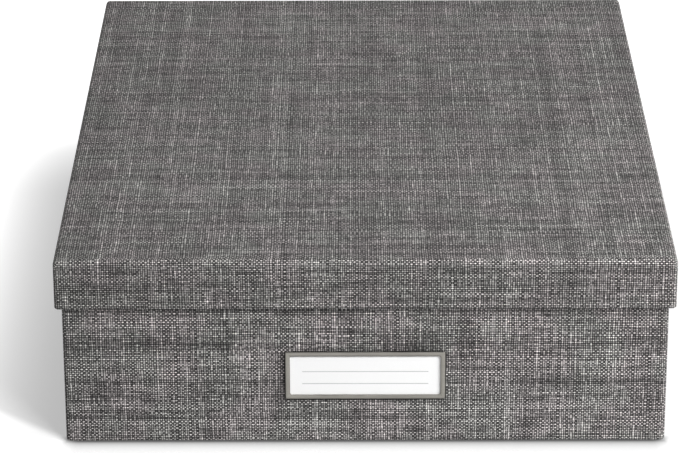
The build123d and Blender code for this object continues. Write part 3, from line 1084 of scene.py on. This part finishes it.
class BOX_OT_tray_covering(bpy.types.Operator):
    """Makes the tray's covering: a paper on each wall, over the rim and under the base."""

    bl_idname = "document_box.tray_covering"
    bl_label = "Tray covering"
    bl_options = {"REGISTER", "UNDO"}

    def execute(self, context):
        sizes = settings().covering
        materials = covering_materials("tray_linen", settings().colours.tray_linen, TRAY_PRINT)
        outline = Outline(tray_low, tray_high, sizes.corner)
        top, bottom = float(tray_high[2]), float(tray_low[2])
        wall = Section(
            [
                (sizes.wall, top - sizes.turn_in), (sizes.wall, top), (0, top), (0, bottom),
                (sizes.turn_under, bottom),
            ],
            [sizes.rim, sizes.rim, sizes.tray_fold],
            sizes.grid,
        )
        rim_wear = (sizes.turn_in + sizes.wall / 2, *TRAY_RIM_WEAR)
        sheet_of = partial(wall_sheet, outline, wall)
        for side, middle in SIDES:
            piece = flap(f"tray_cover_{side}", outline, wall, middle, sheet_of, rim_wear, materials)
            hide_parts("tray_wrap")
            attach(piece, "tray")
        return {"FINISHED"}


class BOX_OT_label_holder(bpy.types.Operator):
    """Gives the label holder its satin metal."""

    bl_idname = "document_box.label_holder"
    bl_label = "Label holder"
    bl_options = {"REGISTER", "UNDO"}

    def execute(self, context):
        give("label_frame", metal_material(tuple(settings().colours.metal)))
        return {"FINISHED"}


class BOX_OT_label_card(bpy.types.Operator):
    """Gives the label card its white stock and writing lines."""

    bl_idname = "document_box.label_card"
    bl_label = "Label card"
    bl_options = {"REGISTER", "UNDO"}

    def execute(self, context):
        give("label_card", card_material(settings().colours))
        return {"FINISHED"}


# Stage: a lamp's place is its degrees to the right of the front and above the floor, and metres

KEY_PLACE, KEY_SIZE = (35, 42, 2.4), 0.9
SIDE_PLACE, SIDE_SIZE = (58, 22, 1.0), 0.25
LAMP_TARGET = np.array((0.0, 0.0, 0.04))
WORLD_RIGHT, WORLD_BEHIND = 0.5, 0.25
FAR_CLIP = 20

FLOOR_HALF = 6.0
GLOW_RISE, GLOW_MOST = 184.0, 0.93
BACK_BAND = (0.11, 0.25)
SHADOW_SLANT, SLANT_BAND, CORNER_GLOW = 0.9, (0.159, 0.1675), 0.24
EDGE_SOFTNESS = 0.004
FRONT_GLOW, FRONT_GLOW_SLOPE = 0.12, -0.45
CONTACT_FALL, CREASE_FALL, CREASE_SHARE = -240.0, -1300.0, 0.22
CONTACT_FRONT, CONTACT_SIDE = (-0.006, -0.003), (-0.006, 0.008)
CONTACT_DARK = -0.68
BOUNCE_FALL, BOUNCE_WHITE = -45.0, 0.26


def seen_rays(tree):
    """1 for rays from the camera, straight, mirrored or through something, and 0 for other light."""
    rays = place(tree, "ShaderNodeLightPath").outputs
    camera, glossy, through = (
        Value(tree, rays[name]) for name in ("Is Camera Ray", "Is Glossy Ray", "Is Transmission Ray")
    )
    return maths("MAXIMUM", maths("MAXIMUM", camera, glossy), through)


def floor_glow(stage, here, ahead, beside, away):
    """Light added to the floor as the camera sees it. It grows as the square of the distance from
    the box, up to a limit, and by smooth steps behind the box's middle, past its front corners
    and in front of it."""
    x, y, _ = separate(here)
    glow = away * away * GLOW_RISE + stage.floor_glow
    glow = glow + remap(y, *BACK_BAND, 0.0, stage.back_glow, smooth=True)
    slanted = maths("MAXIMUM", beside, 0.0) * SHADOW_SLANT - y
    past_corner = remap(slanted, *SLANT_BAND, 0.0, CORNER_GLOW, smooth=True)
    past_corner = past_corner * remap(beside, -EDGE_SOFTNESS, EDGE_SOFTNESS)
    in_front = remap(ahead, -EDGE_SOFTNESS, 0.0) * (x * FRONT_GLOW_SLOPE + FRONT_GLOW)
    return maths("MINIMUM", glow, GLOW_MOST) + past_corner + in_front


def contact_shade(ahead, beside, away):
    """The painted shadow where the box's front meets the floor, exp(a d) + c exp(b d) at a distance d."""
    contact = maths("EXPONENT", away * CREASE_FALL) * CREASE_SHARE + maths("EXPONENT", away * CONTACT_FALL)
    in_front = contact * remap(ahead, *CONTACT_FRONT)
    return in_front * remap(beside, *CONTACT_SIDE, 1.0, 0.0, smooth=True)


def make_floor(stage):
    """A white floor that keeps the box's shadow, with a painted contact shadow in front of the box as the
    camera sees it, and that the camera sees brighter than the box is lit by it. To the box it is lighter in
    front, by exp(b d) at a distance d before it."""
    mesh = bpy.data.meshes.new("floor")
    corners = FLOOR_HALF * np.array([(-1, -1, 0), (1, -1, 0), (1, 1, 0), (-1, 1, 0)])
    mesh.from_pydata(corners, [], [(0, 1, 2, 3)])
    material, tree, surface = new_material("studio_floor")
    seen = seen_rays(tree)
    here = object_place(tree)
    beyond = vector_maths("SUBTRACT", vector_maths("ABSOLUTE", here), (*tray_high[:2], 0.0))
    away = vector_maths("LENGTH", vector_maths("MAXIMUM", beyond, ORIGIN), output="Value")
    beside = separate(beyond)[0]
    ahead = -float(tray_high[1]) - separate(here)[1]
    # Painted contact shadow, only where the camera sees the floor.
    open_floor = contact_shade(ahead, beside, away) * seen * CONTACT_DARK + 1.0
    nearness = maths("EXPONENT", maths("MAXIMUM", ahead, 0.0) * BOUNCE_FALL)
    bounce = nearness * maths("GREATER_THAN", ahead, 0.0) * (1.0 - seen)
    feed(surface, {
        "Base Color": grey((bounce * BOUNCE_WHITE + stage.floor_grey) * open_floor),
        "Roughness": 1.0,
        "Specular IOR Level": 0.0,
        "Emission Color": (1.0, 1.0, 1.0, 1.0),
        "Emission Strength": seen * floor_glow(stage, here, ahead, beside, away) * open_floor,
    })
    mesh.materials.append(material)
    add_object("floor", mesh)


def make_world(strength):
    """A white world where it is seen. Its light on the box is stronger from the right and behind."""
    world = bpy.data.worlds.new("studio")
    bpy.context.scene.world = world
    world.use_nodes = True
    tree = world.node_tree
    tree.nodes.clear()
    backdrop = place(tree, "ShaderNodeBackground")
    x, y, _ = separate(read(tree, "ShaderNodeTexCoord", "Generated"))
    light = y * WORLD_BEHIND + (x * (WORLD_RIGHT * strength) + strength)
    light = maths("MAXIMUM", light, 0.0)
    feed(backdrop.inputs, {"Strength": blend_values(seen_rays(tree), light, 1.0)})
    tree.links.new(backdrop.outputs[0], place(tree, "ShaderNodeOutputWorld").inputs[0])


def add_lamp(name, lamp_place, size, power):
    """A square soft lamp aimed at the box."""
    azimuth, elevation, distance = lamp_place
    turn, rise = math.radians(azimuth), math.radians(elevation)
    facing = np.array([math.sin(turn) * math.cos(rise), -math.cos(turn) * math.cos(rise), math.sin(rise)])
    light = bpy.data.lights.new(name, "AREA")
    light.size = size
    light.energy = power
    lamp = add_object(name, light)
    lamp.location = distance * facing
    x, y, z = LAMP_TARGET - distance * facing
    lamp.rotation_euler = (math.atan2(math.hypot(x, y), -z), 0, math.atan2(y, x) - math.pi / 2)


def make_camera(stage):
    """The photograph's camera: a long lens in front of the box and above it."""
    data = bpy.data.cameras.new("camera")
    data.lens = stage.lens
    data.clip_end = FAR_CLIP
    camera = add_object("camera", data)
    turned = Euler((math.pi / 2 - stage.pitch, 0, stage.yaw)).to_matrix()
    camera.rotation_euler = (turned @ Matrix.Rotation(-stage.roll, 3, "Z")).to_euler()
    camera.location = stage.place
    bpy.context.scene.camera = camera


class BOX_OT_stage(bpy.types.Operator):
    """Makes the floor, the lamps, the world and the camera."""

    bl_idname = "document_box.stage"
    bl_label = "Stage"
    bl_options = {"REGISTER", "UNDO"}

    def execute(self, context):
        stage = settings().stage
        make_floor(stage)
        make_world(stage.world_light)
        add_lamp("key", KEY_PLACE, KEY_SIZE, stage.key_power)
        add_lamp("side", SIDE_PLACE, SIDE_SIZE, stage.side_power)
        make_camera(stage)
        bpy.context.scene.view_settings.view_transform = "Standard"
        return {"FINISHED"}


STEPS = (
    BOX_OT_stage,
    BOX_OT_boards,
    BOX_OT_linings,
    BOX_OT_tray_covering,
    BOX_OT_lid_covering,
    BOX_OT_label_holder,
    BOX_OT_label_card,
)


class BOX_PT_panel(bpy.types.Panel):
    """Lists the steps in the 3D view's sidebar."""

    bl_idname = "BOX_PT_panel"
    bl_label = "Document box"
    bl_space_type = "VIEW_3D"
    bl_region_type = "UI"
    bl_category = "Box"

    def draw(self, context):
        for step in STEPS:
            self.layout.operator(step.bl_idname)


CLASSES = (CoveringSizes, FinishColours, StageSettings, DocumentBox, *STEPS, BOX_PT_panel)


def register():
    """Registers the classes and gives the scene its settings."""
    for cls in CLASSES:
        bpy.utils.register_class(cls)
    bpy.types.Scene.document_box = PointerProperty(type=DocumentBox)


def unregister():
    """Takes the settings and the classes away again."""
    del bpy.types.Scene.document_box
    for cls in reversed(CLASSES):
        bpy.utils.unregister_class(cls)


def main():
    """Dresses the box."""
    register()
    for step in STEPS:
        group, name = step.bl_idname.split(".")
        getattr(getattr(bpy.ops, group), name)()


if __name__ == "__main__":
    main()
